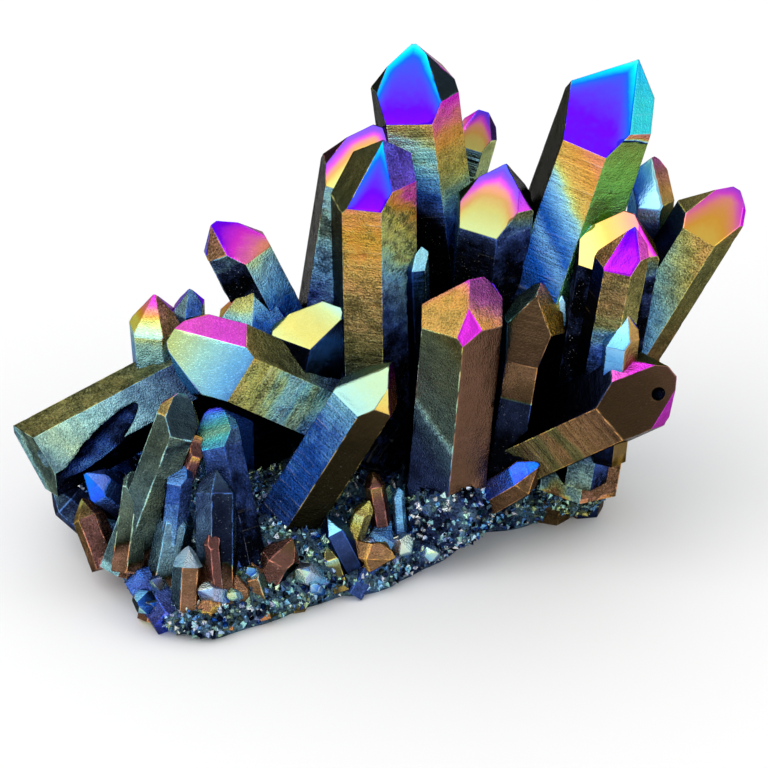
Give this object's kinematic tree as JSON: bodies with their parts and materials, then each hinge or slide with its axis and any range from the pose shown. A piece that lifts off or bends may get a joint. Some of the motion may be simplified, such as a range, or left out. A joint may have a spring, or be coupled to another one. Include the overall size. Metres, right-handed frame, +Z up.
{
  "type": "titanium aura quartz cluster",
  "caption": "Natural cluster of six-sided quartz crystals grown from one lump of rock sawn flat below, with a metallic rainbow film of violet, gold, teal and deep blue.",
  "frame": {"origin": "centre of the bounding box on the sawn underside", "axes": "+Z up out of the sawn base, +X along the longest side towards the right-hand leaning crystals, -Y towards the front"},
  "size_m": [0.0982, 0.0625, 0.0671],
  "materials": {
    "aura_quartz": "quartz under a thin metallic titanium film, glossy faces running from violet, pink and gold through pale green and blue to near-black navy"
  },
  "bodies": {
    "root": {"crystal_cluster": "aura_quartz"}
  },
  "joints": []
}
